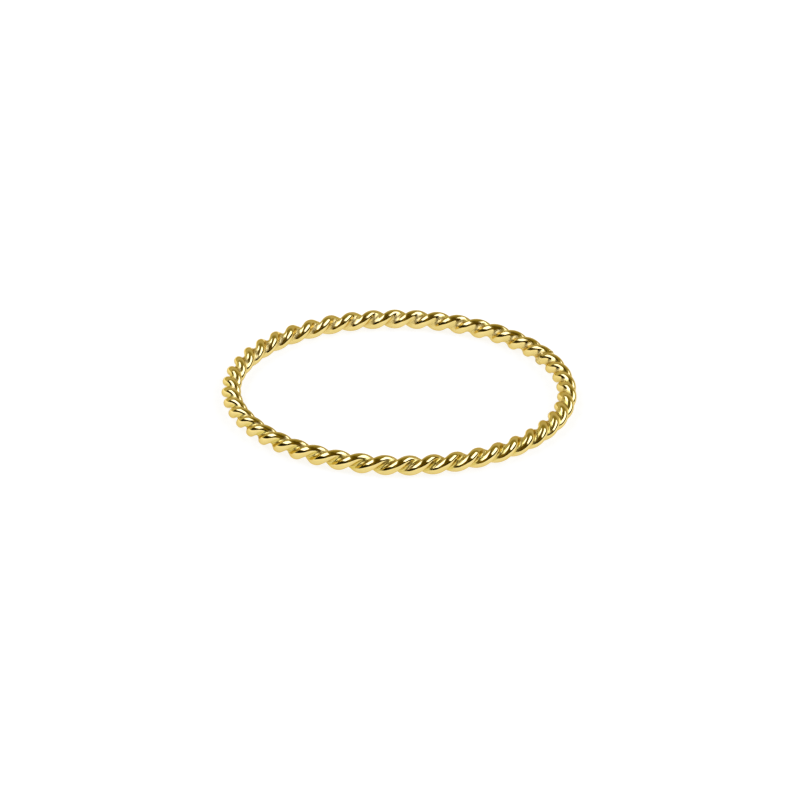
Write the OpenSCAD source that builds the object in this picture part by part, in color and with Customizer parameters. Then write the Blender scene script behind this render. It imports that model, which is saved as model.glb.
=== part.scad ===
// A slim pinky ring of two polished gold wires twisted round each other and closed into a circle.
// It lies on its side: +Z is the axis of the finger hole and z = 0 is the surface it rests on.

/* [Ring] */
// Diameter of the finger hole, between the innermost crests of the twist
inner_d = 15.7; // [14.5:0.1:17.5]

/* [Wire] */
// Thickness of each wire
wire_d = 0.48; // [0.4:0.01:0.55]
// Clearance between the two wires where they lie flat against each other
wire_gap = 0.012; // [0.01:0.001:0.02]
// Thickness of each wire where it meets the other one, as a share of its full thickness
flank = 0.76; // [0.4:0.02:0.9]

/* [Twist] */
// Whole turns that the two wires make round each other on the way round the ring
twists = 23; // [18:1:24]
// Direction of the twist: 1 is left-handed, -1 is right-handed
twist_hand = 1; // [1, -1]
// Where the first wire stands at the +X side: 0 is outermost, 90 is on top
start_angle = 110; // [0:1:359]

/* [Facets] */
// Sides of each wire's section
wire_sides = 12; // [8:2:12]
// Sections of each wire for one turn of the twist
steps_per_turn = 14; // [10:1:14]

/* [Hidden] */
gold = [0.86, 0.68, 0.29];

// The twist was wound by hand, so it runs ahead of even spacing in places and lags in others.
// Each row is one wave of that drift: its crests round the ring, how far ahead of even spacing
// the twist is on a crest, in degrees of twist, and where on the ring one crest lies, in degrees from +X.
DRIFT_CRESTS = 0;
DRIFT_AHEAD = 1;
DRIFT_PLACE = 2;
twist_drift = [
    [1, 12, 222],
    [2, 11, 100],
    [3, 6, 116],
    [4, 7, 61],
    [5, 2, 21],
    [6, 2, 46],
];

// Distance from the middle of the twist to the middle of each wire
wire_offset = (wire_d + wire_gap) / 2;
// Radius of the round envelope that the two wires fill together
twist_r = wire_offset + wire_d / 2;
// Radius of the ring measured to the middle of the twist
ring_r = inner_d / 2 + twist_r;
sections = twists * steps_per_turn;

// The size of one wave of the drift at one place round the ring
function drift_wave(place, wave) =
    wave[DRIFT_AHEAD] * cos(wave[DRIFT_CRESTS] * (place - wave[DRIFT_PLACE]));

// How far the twist runs ahead of even spacing at one place round the ring
function drift_at(place, row = 0) =
    row == len(twist_drift) ? 0 : drift_wave(place, twist_drift[row]) + drift_at(place, row + 1);

// Where a wire stands round the middle of the twist: 0 is outermost, 90 is on top
function lay_at(place, start) = start + twist_hand * (twists * place + drift_at(place));

// The direction away from the ring's axis, turned up by a lift angle
function outward(place, lift) = [cos(lift) * cos(place), cos(lift) * sin(place), sin(lift)];

// The middle of a wire
function wire_centre(place, start) =
    ring_r * outward(place, 0) + wire_offset * outward(place, lay_at(place, start)) + [0, 0, twist_r];

// The direction in which a wire runs, taken between two places just before and after
function wire_direction(place, start, step = 0.01) =
    let (run = wire_centre(place + step, start) - wire_centre(place - step, start)) run / norm(run);

// How much wider a wire is in the upright plane through one place than square to the way it
// runs, because it passes that plane at a slant
function slant_at(place, start) = 1 / (wire_direction(place, start) * [-sin(place), cos(place), 0]);

// Half the width of a wire at one turn round its section, as a share of the widest. It is round
// away from the other wire and keeps the flank's thickness on the side where the two wires meet.
function half_width(turn) = max(abs(sin(turn)), cos(turn) < 0 ? flank : 0);

// One section of a wire in the upright plane through one place, with its flat towards the other wire
function wire_section(place, start) =
    let (centre = wire_centre(place, start),
         lay = lay_at(place, start),
         away = outward(place, lay),
         across = slant_at(place, start) * outward(place, lay - 90))
    [for (side = [0 : wire_sides - 1])
        let (turn = (side + 0.5) * 360 / wire_sides)
        centre + wire_d / 2 * (cos(turn) * away + sign(sin(turn)) * half_width(turn) * across)];

// Whether the patch between one side and the next faces the other wire
function faces_other_wire(side) = cos((side + 1) * 360 / wire_sides) < -0.4;

// The two triangles of one patch between neighbouring sections. The diagonal bulges outwards, so
// that the wire stays round, but bends inwards where the patch faces the other wire.
function patch(side, here_side, here_beside, next_side, next_beside) =
    (twist_hand > 0) == faces_other_wire(side)
    ? [[here_side, next_side, here_beside], [next_side, next_beside, here_beside]]
    : [[here_side, next_side, next_beside], [here_side, next_beside, here_beside]];

// A closed loop of sections, each joined to the next and the last to the first
module wire_loop(start) {
    points = [for (i = [0 : sections - 1]) each wire_section(i * 360 / sections, start)];
    faces = [for (i = [0 : sections - 1], side = [0 : wire_sides - 1])
        let (here = i * wire_sides,
             next = (i + 1) % sections * wire_sides,
             beside = (side + 1) % wire_sides)
        each patch(side, here + side, here + beside, next + side, next + beside)];
    polyhedron(points = points, faces = faces, convexity = 10);
}

module wire_a() {
    color(gold) wire_loop(start_angle);
}

module wire_b() {
    color(gold) wire_loop(start_angle + 180);
}

wire_a();
wire_b();
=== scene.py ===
import math

import bpy
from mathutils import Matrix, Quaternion, Vector


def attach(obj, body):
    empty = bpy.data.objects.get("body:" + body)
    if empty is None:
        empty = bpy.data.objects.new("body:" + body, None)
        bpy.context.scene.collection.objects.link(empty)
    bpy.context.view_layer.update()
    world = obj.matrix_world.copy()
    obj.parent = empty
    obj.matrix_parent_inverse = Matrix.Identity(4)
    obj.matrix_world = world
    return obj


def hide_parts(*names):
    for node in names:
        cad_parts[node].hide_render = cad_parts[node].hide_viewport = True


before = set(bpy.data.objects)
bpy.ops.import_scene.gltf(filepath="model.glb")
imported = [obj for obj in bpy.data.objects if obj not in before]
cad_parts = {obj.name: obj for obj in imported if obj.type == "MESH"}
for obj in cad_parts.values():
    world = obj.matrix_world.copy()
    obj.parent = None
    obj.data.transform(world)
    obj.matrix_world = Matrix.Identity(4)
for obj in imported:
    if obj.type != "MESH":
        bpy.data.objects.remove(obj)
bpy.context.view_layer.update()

MM = 0.001
TURN = 2 * math.pi

# The ring, as it was wound
FINGER_HOLE = 15.7 * MM
WIRE = 0.48 * MM
WIRE_GAP = 0.012 * MM
TWISTS = 23
START = math.radians(110)
# Thickness of each wire where it meets the other one, as a share of its full thickness
FLANK = 0.76
# The same share on the finger's side, where wear has left the groove shallow and smooth: at the
# groove's deepest and at its shallowest, and the place round the ring where it is shallowest
WORN_FLANK = (0.80, 0.97)
WORN_PLACE = math.radians(45)
# One row for each wave of uneven twisting: crests round the ring, how far ahead, where one crest lies
DRIFT = [
    (1, math.radians(12), math.radians(222)),
    (2, math.radians(11), math.radians(100)),
    (3, math.radians(6), math.radians(116)),
    (4, math.radians(7), math.radians(61)),
    (5, math.radians(2), math.radians(21)),
    (6, math.radians(2), math.radians(46)),
]

WIRE_OFFSET = (WIRE + WIRE_GAP) / 2
TWIST_RADIUS = WIRE_OFFSET + WIRE / 2
RING_RADIUS = FINGER_HOLE / 2 + TWIST_RADIUS

# The soldered joint: its place round the ring, half its length, and how lumpy it is as a share of the wire
JOINT_PLACE = math.radians(27)
JOINT_HALF_LENGTH = math.radians(2.4)
JOINT_LUMPS = 0.7
# Lumps to one radian round the ring, and to one radian round the wire
LUMPS_ALONG = 240
LUMPS_ACROSS = 5
# How far round towards the other wire the lumps end and are full, as a cosine
LUMP_EDGE = (-0.2, 0.6)

# How squarely the wire's round outer half turns into its flatter inner half, and how far in the
# flank has its full thickness, as a cosine
SQUARENESS = 8
FLANK_EDGE = 0.3
# How slowly the worn groove deepens from its rim, and how far above and below the middle of the
# twist the finger's side blends into the outer side, as a sine
WORN_EASE = 1.4
SIDE_BLEND = 0.35

# Fineness of the wires' meshes
SECTIONS_PER_TWIST = 48
WIRE_SIDES = 36

# Colours of the gold: on the crests, in patches of wear, in the groove, darkened there as painted shade,
# and at a grazing angle
GOLD = (0.83, 0.66, 0.26, 1)
GOLD_DEEP = (0.79, 0.62, 0.22, 1)
GROOVE_PAINTED_SHADE = (0.70, 0.55, 0.12, 1)
GRAZING_TINT = (0.84, 0.72, 0.45, 1)
# Roughness of the crests, and what is added to it: by wear, by every groove, by the outer side's
# groove, by the marks in that groove, by the finger's side, and by the finger side's grooves
CREST_ROUGH = 0.035
WEAR_ROUGH = 0.03
VALLEY_ROUGH = 0.03
GROOVE_ROUGH = 0.14
MARK_ROUGH = 0.14
WORN_ROUGH = 0.08
WORN_GROOVE_ROUGH = 0.24
# How far round towards the other wire the groove's duller finish and painted shade start and are full, as a
# cosine
GROOVE_EDGE = (0.15, 0.5)
# Where the ring's outer side starts and is full, measured outwards from the middle of the twist
OUTER_EDGE = (-0.12 * MM, 0.08 * MM)
# How much of the groove's finish and painted shade, and of the marks in it, is left on the finger's side
WORN_GROOVE_SHARE = 0.15
WORN_MARK_SHARE = 0.1
# Patches of wear to one metre, and the range of the noise that they take in
WEAR_PATCHES = 1400
WEAR_RANGE = (0.3, 0.7)
# Marks to one radian round the ring, and to one radian round the wire
MARK_ALONG = 14
MARK_ACROSS = 3.5
# How much of the groove's painted shade shows between the marks, how much of it a mark takes away,
# leaving a lighter streak, and the range of the noise that a mark takes in
GROOVE_SHADE_SHARE = 0.95
MARK_TONE = 0.5
MARK_RANGE = (0.42, 0.68)
# Depth of the marks, how strongly they show, and how much of them the crests have
MARK_DEPTH = 0.03 * MM
MARK_STRENGTH = 0.16
CREST_MARKS = 0.06

# The white paper under the ring: how it glows beside the ring, dimmer there as a painted shadow, and far
# away, and between which distances the painted shadow fades
PAPER_IN_PAINTED_SHADOW = (0.85, 0.85, 0.84, 1)
PAPER_FAR = (1.06, 1.06, 1.04, 1)
PAPER_SHADOW_FADE = (0.6 * MM, 4.0 * MM)
# How it takes other light, and half its width
PAPER_COLOR = (0.24, 0.24, 0.22, 1)
PAPER_ROUGH = 0.9
PAPER_HALF_WIDTH = 2000 * MM

# The studio round the ring. Each row is one soft-edged panel, painted over the ones before it:
# azimuth and elevation of its middle, half its width and height as tangents, softness of its edge, colour
STUDIO_GREY = (0.285, 0.23, 0.047)
PANELS = [
    ("lighter room behind", 180, 17, 1.6, 0.58, 0.30, (0.60, 0.54, 0.34)),
    ("low band at left", -133, 4, 0.80, 0.26, 0.12, (0.58, 0.52, 0.24)),
    ("dim room round the camera", 6, 26, 0.62, 0.66, 0.20, (0.21, 0.145, 0.011)),
    ("dark band at left", -64, 16, 1.00, 0.29, 0.07, (0.014, 0.009, 0.001)),
    ("dark camera", 22, 16, 0.42, 0.30, 0.14, (0.06, 0.036, 0.002)),
    ("dark band at right", 68, 13, 0.72, 0.21, 0.05, (0.012, 0.008, 0.001)),
    ("dark gap between the softboxes", 14, 57, 0.26, 0.34, 0.10, (0.09, 0.06, 0.004)),
    ("dark ceiling", -75, 84, 0.16, 0.16, 0.07, (0.06, 0.038, 0.003)),
    ("right softbox", 80, 45, 0.45, 0.31, 0.06, (2.5, 2.7, 3.8)),
    ("left softbox", -82, 52, 0.53, 0.27, 0.06, (2.5, 2.7, 3.8)),
]
# The least that a direction has to point towards a panel to meet it, as a cosine
LEAST_AHEAD = 0.05
# What the camera itself sees behind the paper
BACKDROP = (1, 1, 1, 1)

# The camera that took the photograph, and where the ring lies in its frame
LENS_MM = 200
SENSOR_MM = 36
VIEW_ELEVATION = math.radians(25.85)
VIEW_ROLL = math.radians(0.7)
FRAME_PX = 800
PX_PER_RING_RADIUS = 167.8
RING_CENTRE_PX = (399.1, 389.7)
# The nearest and the farthest that it shows
NEAREST = 10 * MM
FARTHEST = 10000 * MM


class Value:
    """A node's output socket. Arithmetic on it adds the Math nodes to the same tree."""

    def __init__(self, maker, socket):
        self.maker = maker
        self.socket = socket

    def math(self, operation, *others):
        return self.maker.math(operation, self, *others)

    def __add__(self, other):
        return self.math("ADD", other)

    def __radd__(self, other):
        return self.math("ADD", other)

    def __sub__(self, other):
        return self.math("SUBTRACT", other)

    def __rsub__(self, other):
        return self.maker.math("SUBTRACT", other, self)

    def __mul__(self, other):
        return self.math("MULTIPLY", other)

    def __rmul__(self, other):
        return self.math("MULTIPLY", other)

    def __truediv__(self, other):
        return self.math("DIVIDE", other)

    def __rtruediv__(self, other):
        return self.maker.math("DIVIDE", other, self)

    def __pow__(self, other):
        return self.math("POWER", other)

    def __rpow__(self, other):
        return self.maker.math("POWER", other, self)

    def __neg__(self):
        return self.math("MULTIPLY", -1.0)

    def cos(self):
        return self.math("COSINE")

    def sin(self):
        return self.math("SINE")

    def floor(self):
        return self.math("FLOOR")

    def wrap(self, size):
        return self.math("MODULO", size)

    def abs(self):
        return self.math("ABSOLUTE")

    def sqrt(self):
        return self.math("SQRT")

    def sign(self):
        return self.math("SIGN")

    def above(self, edge):
        return self.math("GREATER_THAN", edge)

    def at_least(self, least):
        return self.math("MAXIMUM", least)

    def smooth(self, low, high):
        """Rises smoothly from 0 at low to 1 at high; falls where low is the larger."""
        return self.maker.node(
            "ShaderNodeMapRange",
            {"interpolation_type": "SMOOTHSTEP"},
            {"Value": self, "From Min": low, "From Max": high},
            "Result",
        )


class Maker:
    """Adds nodes to one tree."""

    def __init__(self, tree):
        self.tree = tree

    def feed(self, socket, value):
        if isinstance(value, Value):
            self.tree.links.new(value.socket, socket)
        else:
            socket.default_value = value

    def node(self, kind, settings=None, inputs=None, output=0):
        """A node of that kind, with its settings made first and its sockets fed after; gives one output."""
        made = self.tree.nodes.new(kind)
        for name, value in (settings or {}).items():
            setattr(made, name, value)
        for key, value in (inputs or {}).items():
            self.feed(made.inputs[key], value)
        return Value(self, made.outputs[output])

    def math(self, operation, *terms):
        return self.node("ShaderNodeMath", {"operation": operation}, dict(enumerate(terms)))

    def mix(self, share, low, high, label=""):
        """The colour low where share is 0 and high where it is 1."""
        # A Mix node has its colours at 6 and 7 and the mixed colour at 2
        settings = {"data_type": "RGBA", "label": label}
        return self.node("ShaderNodeMix", settings, {0: share, 6: low, 7: high}, 2)

    def dot(self, first, second):
        settings = {"operation": "DOT_PRODUCT"}
        return self.node("ShaderNodeVectorMath", settings, {0: first, 1: second}, "Value")

    def split(self, vector):
        made = self.node("ShaderNodeSeparateXYZ", None, {0: vector})
        return [Value(self, socket) for socket in made.socket.node.outputs]

    def join(self, x, y, z):
        return self.node("ShaderNodeCombineXYZ", None, {0: x, 1: y, 2: z})


def lay_of_wire(size, place):
    """Which way the wire lies from the middle of the twist, and how fast that turns with its place.
    It is 0 outwards and a quarter turn upwards."""
    lay = size["Start"] + size["Twists"] * place
    lay_rate = size["Twists"]
    for crests, ahead, crest_place in DRIFT:
        wave = (place - crest_place) * crests
        lay = lay + wave.cos() * ahead
        lay_rate = lay_rate - wave.sin() * (crests * ahead)
    return lay, lay_rate


def lumpiness(make, place, side):
    """How far the solder swells a wire beside the joint, from -0.5 to 0.5. The side of the wire
    towards the other one stays smooth."""
    lump_place = make.join(place * LUMPS_ALONG, side.cos() * LUMPS_ACROSS, side.sin() * LUMPS_ACROSS)
    lump_noise = {"Vector": lump_place, "Scale": 1.0, "Detail": 0.0}
    lumps = make.node("ShaderNodeTexNoise", None, lump_noise, "Fac")
    return (lumps - 0.5) * side.cos().smooth(*LUMP_EDGE)


def section_width(size, place, side, lay, joint):
    """Half the width of the wire's section, as a share of the widest. The outer half is round. On the
    ring's outer side the inner half keeps the flank's thickness, and on the finger's side it narrows
    smoothly to the worn flank's."""
    inner_half = (-side.cos()).at_least(0.0)
    flank = (size["Flank"] + (1 - size["Flank"]) * joint) * inner_half.smooth(0.0, FLANK_EDGE)
    flat_side = (side.sin().abs() ** SQUARENESS + flank**SQUARENESS) ** (1 / SQUARENESS)
    wear = (place - size["Worn Place"]).cos().smooth(-1.0, 1.0)
    worn_flank = size["Worn Flank Low"] + (size["Worn Flank High"] - size["Worn Flank Low"]) * wear
    worn_depth = (1 - worn_flank) * (1 - joint) * (inner_half**WORN_EASE).smooth(0.0, 1.0)
    in_inner_half = inner_half.above(0.0)
    worn_side = side.sin().abs() * (1 - in_inner_half) + (1 - worn_depth) * in_inner_half
    finger_side = (lay.sin() * side.sin().sign()).smooth(-SIDE_BLEND, SIDE_BLEND)
    return flat_side + (worn_side - flat_side) * finger_side


def wound_surface(make, size):
    """Where each vertex of a plain tube goes when the tube is wound into one wire of the twist."""
    index = make.node("GeometryNodeInputIndex")
    place = (index / size["Sides"]).floor() / size["Sections"] * TURN
    side = (index.wrap(size["Sides"]) + 0.5) / size["Sides"] * TURN
    lay, lay_rate = lay_of_wire(size, place)

    # The ring was closed with solder, which fills the groove there and leaves the wires a little lumpy
    joint = (place - size["Joint Place"]).cos().smooth(size["Joint Half Length"].cos(), 1.0)
    wire_radius = size["Wire Radius"] * (1 + joint * lumpiness(make, place, side) * size["Joint Lumps"])

    # The wire's section in the ring's radial plane is longer across than out, because the wire
    # crosses that plane at a slant
    reach = size["Ring Radius"] + size["Wire Offset"] * lay.cos()
    slant = (reach**2 + (size["Wire Offset"] * lay_rate) ** 2).sqrt() / reach
    half_width = slant * wire_radius * section_width(size, place, side, lay, joint)
    across = half_width * side.sin().sign()
    out = size["Wire Offset"] + wire_radius * side.cos()

    from_axis = size["Ring Radius"] + out * lay.cos() - across * lay.sin()
    upward = out * lay.sin() + across * lay.cos()
    return make.join(from_axis * place.cos(), from_axis * place.sin(), size["Height"] + upward)


def circle(make, corners, radius):
    inputs = {"Resolution": corners, "Radius": radius}
    return make.node("GeometryNodeCurvePrimitiveCircle", {"mode": "RADIUS"}, inputs, "Curve")


def with_wire_map(make, size, wound):
    """The wire with a map that runs along it in u and round it in v, with no jump where it closes."""
    corner = make.node("GeometryNodeInputIndex")
    vertex = make.node("GeometryNodeVertexOfCorner", None, {"Corner Index": corner}, "Vertex Index")
    face = make.node("GeometryNodeFaceOfCorner", None, {"Corner Index": corner}, "Face Index")
    segment = (face / size["Sides"]).floor()
    strip = face.wrap(size["Sides"])
    section_on = ((vertex / size["Sides"]).floor() - segment).abs().above(0.5)
    side_on = (vertex.wrap(size["Sides"]) - strip).abs().above(0.5)
    along = (segment + section_on) / size["Sections"]
    round_wire = (strip + side_on + 0.5) / size["Sides"]
    return make.node(
        "GeometryNodeStoreNamedAttribute",
        {"data_type": "FLOAT2", "domain": "CORNER"},
        {"Geometry": wound, "Name": "wire_map", "Value": make.join(along, round_wire, 0.0)},
        "Geometry",
    )


def twisted_wire_tree():
    """Geometry nodes for one wire of the twist: a closed tube that winds round the ring's own circle."""
    tree = bpy.data.node_groups.new("twisted_wire", "GeometryNodeTree")
    tree.is_modifier = True
    sizes = [
        ("Ring Radius", "NodeSocketFloat"),
        ("Wire Radius", "NodeSocketFloat"),
        ("Wire Offset", "NodeSocketFloat"),
        ("Flank", "NodeSocketFloat"),
        ("Worn Flank Low", "NodeSocketFloat"),
        ("Worn Flank High", "NodeSocketFloat"),
        ("Worn Place", "NodeSocketFloat"),
        ("Joint Place", "NodeSocketFloat"),
        ("Joint Half Length", "NodeSocketFloat"),
        ("Joint Lumps", "NodeSocketFloat"),
        ("Height", "NodeSocketFloat"),
        ("Twists", "NodeSocketInt"),
        ("Start", "NodeSocketFloat"),
        ("Sections", "NodeSocketInt"),
        ("Sides", "NodeSocketInt"),
        ("Finish", "NodeSocketMaterial"),
    ]
    for name, kind in sizes:
        tree.interface.new_socket(name, in_out="INPUT", socket_type=kind)
    tree.interface.new_socket("Geometry", in_out="OUTPUT", socket_type="NodeSocketGeometry")
    make = Maker(tree)
    given = make.node("NodeGroupInput").socket.node
    size = {name: Value(make, given.outputs[name]) for name, _ in sizes}

    circles = {
        "Curve": circle(make, size["Sections"], size["Ring Radius"]),
        "Profile Curve": circle(make, size["Sides"], size["Wire Radius"]),
    }
    tube = make.node("GeometryNodeCurveToMesh", None, circles, "Mesh")
    moves = {"Geometry": tube, "Position": wound_surface(make, size)}
    wound = make.node("GeometryNodeSetPosition", None, moves, "Geometry")
    mapped = with_wire_map(make, size, wound)
    smooth = make.node("GeometryNodeSetShadeSmooth", None, {"Geometry": mapped}, "Geometry")
    real = make.node("GeometryNodeRealizeInstances", None, {"Geometry": smooth}, "Geometry")
    finish = {"Geometry": real, "Material": size["Finish"]}
    finished = make.node("GeometryNodeSetMaterial", None, finish, "Geometry")
    result = tree.nodes.new("NodeGroupOutput")
    make.feed(result.inputs["Geometry"], finished)
    return tree


def grow(name, tree, inputs):
    """The plain mesh object that a geometry tree makes with these inputs."""
    seed = bpy.data.objects.new(name + "_tree", bpy.data.meshes.new(name + "_tree"))
    bpy.context.scene.collection.objects.link(seed)
    modifier = seed.modifiers.new("tree", "NODES")
    modifier.node_group = tree
    sockets = {item.name: item.identifier for item in tree.interface.items_tree if item.in_out == "INPUT"}
    for key, value in inputs.items():
        modifier[sockets[key]] = value
    seed.update_tag()
    bpy.context.view_layer.update()
    grown = seed.evaluated_get(bpy.context.evaluated_depsgraph_get())
    mesh = bpy.data.meshes.new_from_object(grown)
    mesh.name = name
    bpy.data.objects.remove(seed)
    piece = bpy.data.objects.new(name, mesh)
    bpy.context.scene.collection.objects.link(piece)
    return piece


def distance_from_axis(make, spot):
    """How far a spot is from the ring's axis."""
    x, y, _ = make.split(spot)
    return (x**2 + y**2).sqrt()


def polished_gold():
    """Yellow gold: mirror-bright on the crests, duller and marked along the wire in the groove, where its
    colour is darkened as painted shade.
    """
    material = bpy.data.materials.new("polished_gold")
    material.use_nodes = True
    make = Maker(material.node_tree)
    shader = material.node_tree.nodes["Principled BSDF"].inputs
    make.feed(shader["Metallic"], 1.0)
    make.feed(shader["Specular Tint"], GRAZING_TINT)

    along, round_wire, _ = make.split(make.node("ShaderNodeUVMap", {"uv_map": "wire_map"}, None, "UV"))
    place = along * TURN
    side = round_wire * TURN
    valley = (-side.cos()).smooth(*GROOVE_EDGE)

    # Marks drawn out along the wire: long in one direction and fine in the other
    mark_place = make.join(place.cos() * MARK_ALONG, place.sin() * MARK_ALONG, side.cos() * MARK_ACROSS)
    marks = make.node(
        "ShaderNodeTexNoise",
        {"noise_dimensions": "4D"},
        {
            "Vector": mark_place,
            "W": side.sin() * MARK_ACROSS,
            "Scale": 1.0,
            "Detail": 0.8,
            "Roughness": 0.5,
        },
        "Fac",
    )
    spot = make.node("ShaderNodeTexCoord", None, None, "Object")
    wear_noise = {"Vector": spot, "Scale": WEAR_PATCHES, "Detail": 3.0}
    wear = make.node("ShaderNodeTexNoise", None, wear_noise, "Fac")

    # The dull finish, the groove's painted shade and its marks stay on the ring's outer side. The finger's
    # side is worn smooth, with a little satin and painted shade left in its grooves.
    outer = (distance_from_axis(make, spot) - RING_RADIUS).smooth(*OUTER_EDGE)
    inner = 1 - outer
    groove = valley * (WORN_GROOVE_SHARE + outer * (1 - WORN_GROOVE_SHARE))
    marks = 0.5 + (marks - 0.5) * (WORN_MARK_SHARE + outer * (1 - WORN_MARK_SHARE))

    tone = make.mix(wear.smooth(*WEAR_RANGE), GOLD_DEEP, GOLD)
    # Painted shade: the gold's colour is darkened in the groove between the wires, less where a mark
    # streaks it lighter.
    tone = make.mix(groove * (GROOVE_SHADE_SHARE - marks.smooth(*MARK_RANGE) * MARK_TONE), tone, GROOVE_PAINTED_SHADE)
    make.feed(shader["Base Color"], tone)
    worn_rough = inner * (WORN_ROUGH + valley * WORN_GROOVE_ROUGH)
    groove_rough = groove * (GROOVE_ROUGH + marks * MARK_ROUGH)
    rough = CREST_ROUGH + wear * WEAR_ROUGH + worn_rough + valley * VALLEY_ROUGH + groove_rough
    make.feed(shader["Roughness"], rough)
    height = marks * (groove + CREST_MARKS)
    bump = make.node(
        "ShaderNodeBump", None, {"Strength": MARK_STRENGTH, "Distance": MARK_DEPTH, "Height": height}
    )
    make.feed(shader["Normal"], bump)
    return material


def make_wires(finish):
    tree = twisted_wire_tree()
    for node, half_turn in (("wire_a", 0.0), ("wire_b", math.pi)):
        wire = grow(
            "gold_" + node,
            tree,
            {
                "Ring Radius": RING_RADIUS,
                "Wire Radius": WIRE / 2,
                "Wire Offset": WIRE_OFFSET,
                "Flank": FLANK,
                "Worn Flank Low": WORN_FLANK[0],
                "Worn Flank High": WORN_FLANK[1],
                "Worn Place": WORN_PLACE,
                "Joint Place": JOINT_PLACE,
                "Joint Half Length": JOINT_HALF_LENGTH,
                "Joint Lumps": JOINT_LUMPS,
                "Height": TWIST_RADIUS,
                "Twists": TWISTS,
                "Start": START + half_turn,
                "Sections": TWISTS * SECTIONS_PER_TWIST,
                "Sides": WIRE_SIDES,
                "Finish": finish,
            },
        )
        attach(wire, "root")
        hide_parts(node)


def white_paper():
    """Paper that glows with the light that it passes on, a little less right beside the ring as a painted
    shadow.
    """
    paper = bpy.data.materials.new("white_paper")
    paper.use_nodes = True
    make = Maker(paper.node_tree)
    shader = paper.node_tree.nodes["Principled BSDF"].inputs
    make.feed(shader["Base Color"], PAPER_COLOR)
    make.feed(shader["Roughness"], PAPER_ROUGH)
    make.feed(shader["Specular IOR Level"], 0.0)
    make.feed(shader["Emission Strength"], 1.0)
    spot = make.node("ShaderNodeTexCoord", None, None, "Object")
    away = (distance_from_axis(make, spot) - RING_RADIUS).abs()
    # Painted shadow: the paper glows less right beside the ring, fading out further away.
    make.feed(shader["Emission Color"], make.mix(away.smooth(*PAPER_SHADOW_FADE), PAPER_IN_PAINTED_SHADOW, PAPER_FAR))
    return paper


def make_floor(paper):
    half = PAPER_HALF_WIDTH
    mesh = bpy.data.meshes.new("floor")
    corners = [(-half, -half, 0), (half, -half, 0), (half, half, 0), (-half, half, 0)]
    mesh.from_pydata(corners, [], [(0, 1, 2, 3)])
    mesh.materials.append(paper)
    floor = bpy.data.objects.new("floor", mesh)
    bpy.context.scene.collection.objects.link(floor)


def direction(azimuth, elevation):
    """A unit vector seen from the ring: azimuth 0 is towards the camera and 90 to the right, in degrees."""
    turn = math.radians(azimuth)
    rise = math.radians(elevation)
    return Vector((math.sin(turn) * math.cos(rise), -math.cos(turn) * math.cos(rise), math.sin(rise)))


def make_light():
    """The studio's panels as light for the ring, and a white backdrop for the camera."""
    world = bpy.data.worlds.new("studio")
    bpy.context.scene.world = world
    world.use_nodes = True
    make = Maker(world.node_tree)
    towards = make.node("ShaderNodeTexCoord", None, None, "Generated")
    light = (*STUDIO_GREY, 1)
    for name, azimuth, elevation, half_width, half_height, edge, color in PANELS:
        facing = direction(azimuth, elevation)
        across = Vector((0, 0, 1)).cross(facing).normalized()
        upright = facing.cross(across)
        ahead = make.dot(towards, facing)
        depth = ahead.at_least(LEAST_AHEAD)
        side = (make.dot(towards, across) / depth).abs()
        rise = (make.dot(towards, upright) / depth).abs()
        in_width = side.smooth(half_width + edge, half_width - edge)
        in_height = rise.smooth(half_height + edge, half_height - edge)
        share = in_width * in_height * ahead.above(LEAST_AHEAD)
        light = make.mix(share, light, (*color, 1), name)
    camera_ray = make.node("ShaderNodeLightPath", None, None, "Is Camera Ray")
    background = world.node_tree.nodes["Background"].inputs
    make.feed(background["Color"], make.mix(camera_ray, light, BACKDROP))
    make.feed(background["Strength"], 1.0)


def make_camera():
    data = bpy.data.cameras.new("camera")
    camera = bpy.data.objects.new("camera", data)
    bpy.context.scene.collection.objects.link(camera)
    data.lens = LENS_MM
    data.sensor_width = SENSOR_MM
    lens_px = LENS_MM / SENSOR_MM * FRAME_PX
    distance = RING_RADIUS * lens_px / PX_PER_RING_RADIUS
    back = Vector((0, -math.cos(VIEW_ELEVATION), math.sin(VIEW_ELEVATION)))
    camera.location = Vector((0, 0, TWIST_RADIUS)) + back * distance
    camera.rotation_mode = "QUATERNION"
    camera.rotation_quaternion = (-back).to_track_quat("-Z", "Y") @ Quaternion((0, 0, 1), VIEW_ROLL)
    middle = FRAME_PX / 2
    data.shift_x = (middle - RING_CENTRE_PX[0]) / FRAME_PX
    data.shift_y = -(middle - RING_CENTRE_PX[1]) / FRAME_PX
    data.clip_start = NEAREST
    data.clip_end = FARTHEST
    bpy.context.scene.camera = camera


make_camera()
make_light()
make_floor(white_paper())
make_wires(polished_gold())
bpy.context.scene.view_settings.view_transform = "Standard"
